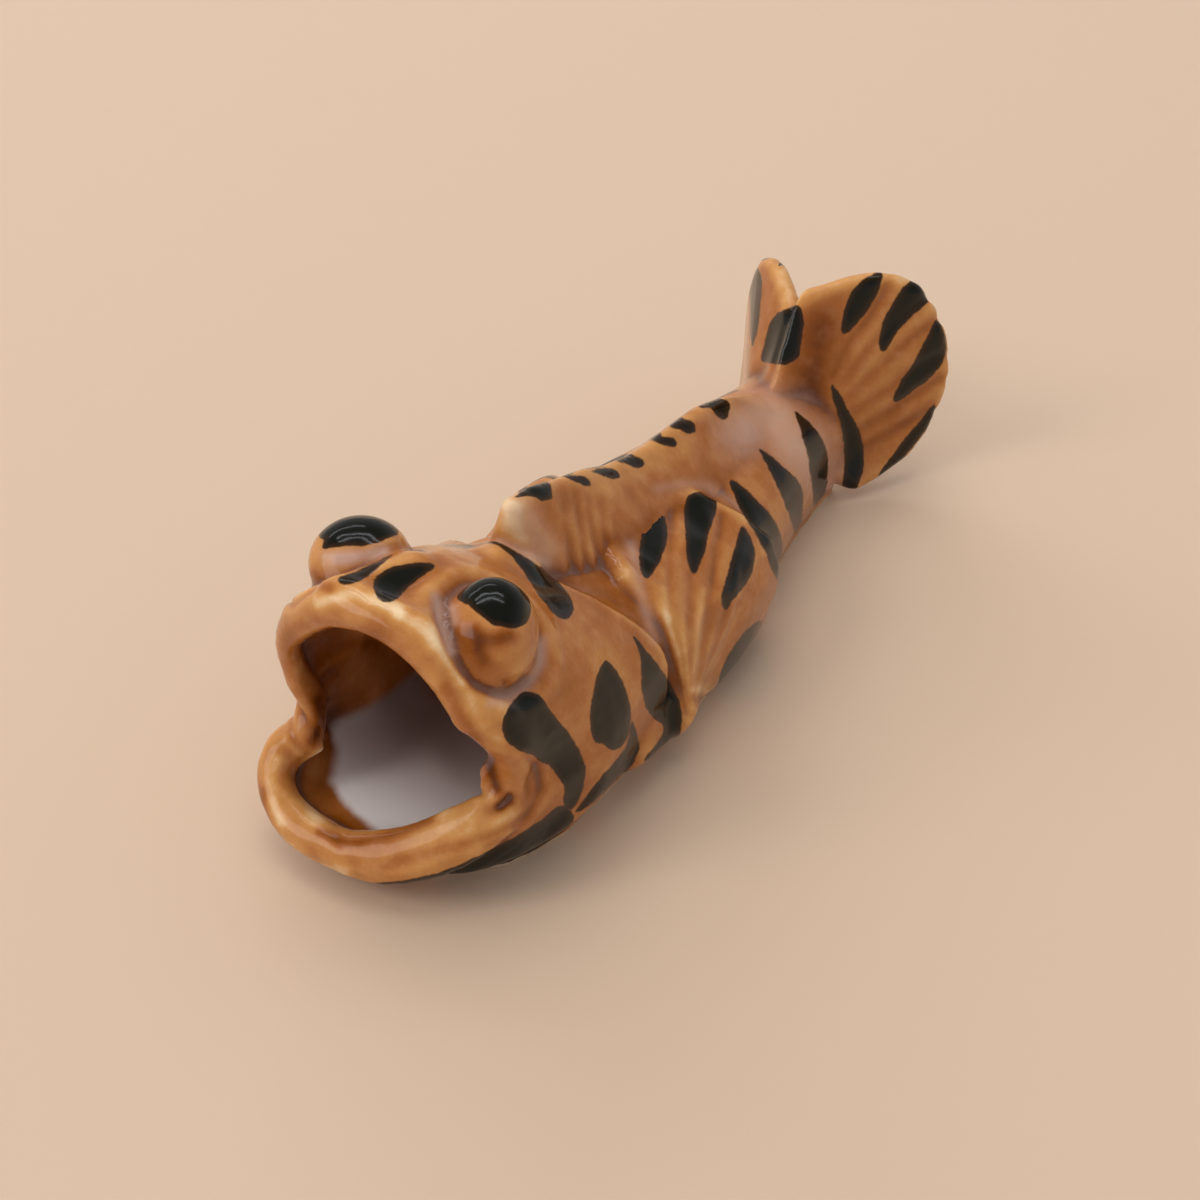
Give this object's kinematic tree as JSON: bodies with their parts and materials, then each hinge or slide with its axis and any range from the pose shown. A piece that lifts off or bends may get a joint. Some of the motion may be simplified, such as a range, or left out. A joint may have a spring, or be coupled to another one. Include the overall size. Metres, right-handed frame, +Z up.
{
  "type": "chopstick rest",
  "caption": "Small glazed stoneware chopstick rest shaped as a gaping goby fish, with an open hollow mouth, bulging eyes, folded fins and a raised tail.",
  "frame": {"origin": "a point of the flat foot under the middle of the fish, on the table", "axes": "+Z up, +Y from the mouth towards the tail, along the fish; +X towards the fish's left side"},
  "size_m": [0.0272, 0.0828, 0.0302],
  "materials": {
    "amber_glaze": "glossy amber glaze with brushed black-green marks, white inside the mouth",
    "bare_clay": "unglazed pale fired clay, matt"
  },
  "bodies": {
    "root": {"head_shell": "amber_glaze", "lip_coil": "amber_glaze", "body_shell": "amber_glaze", "foot_plate": "bare_clay", "eyeball_left": "amber_glaze", "eyeball_right": "amber_glaze", "dorsal_fin": "amber_glaze", "pectoral_fin_left": "amber_glaze", "pectoral_fin_right": "amber_glaze", "tail_lobe_left": "amber_glaze", "tail_lobe_right": "amber_glaze"}
  },
  "joints": []
}
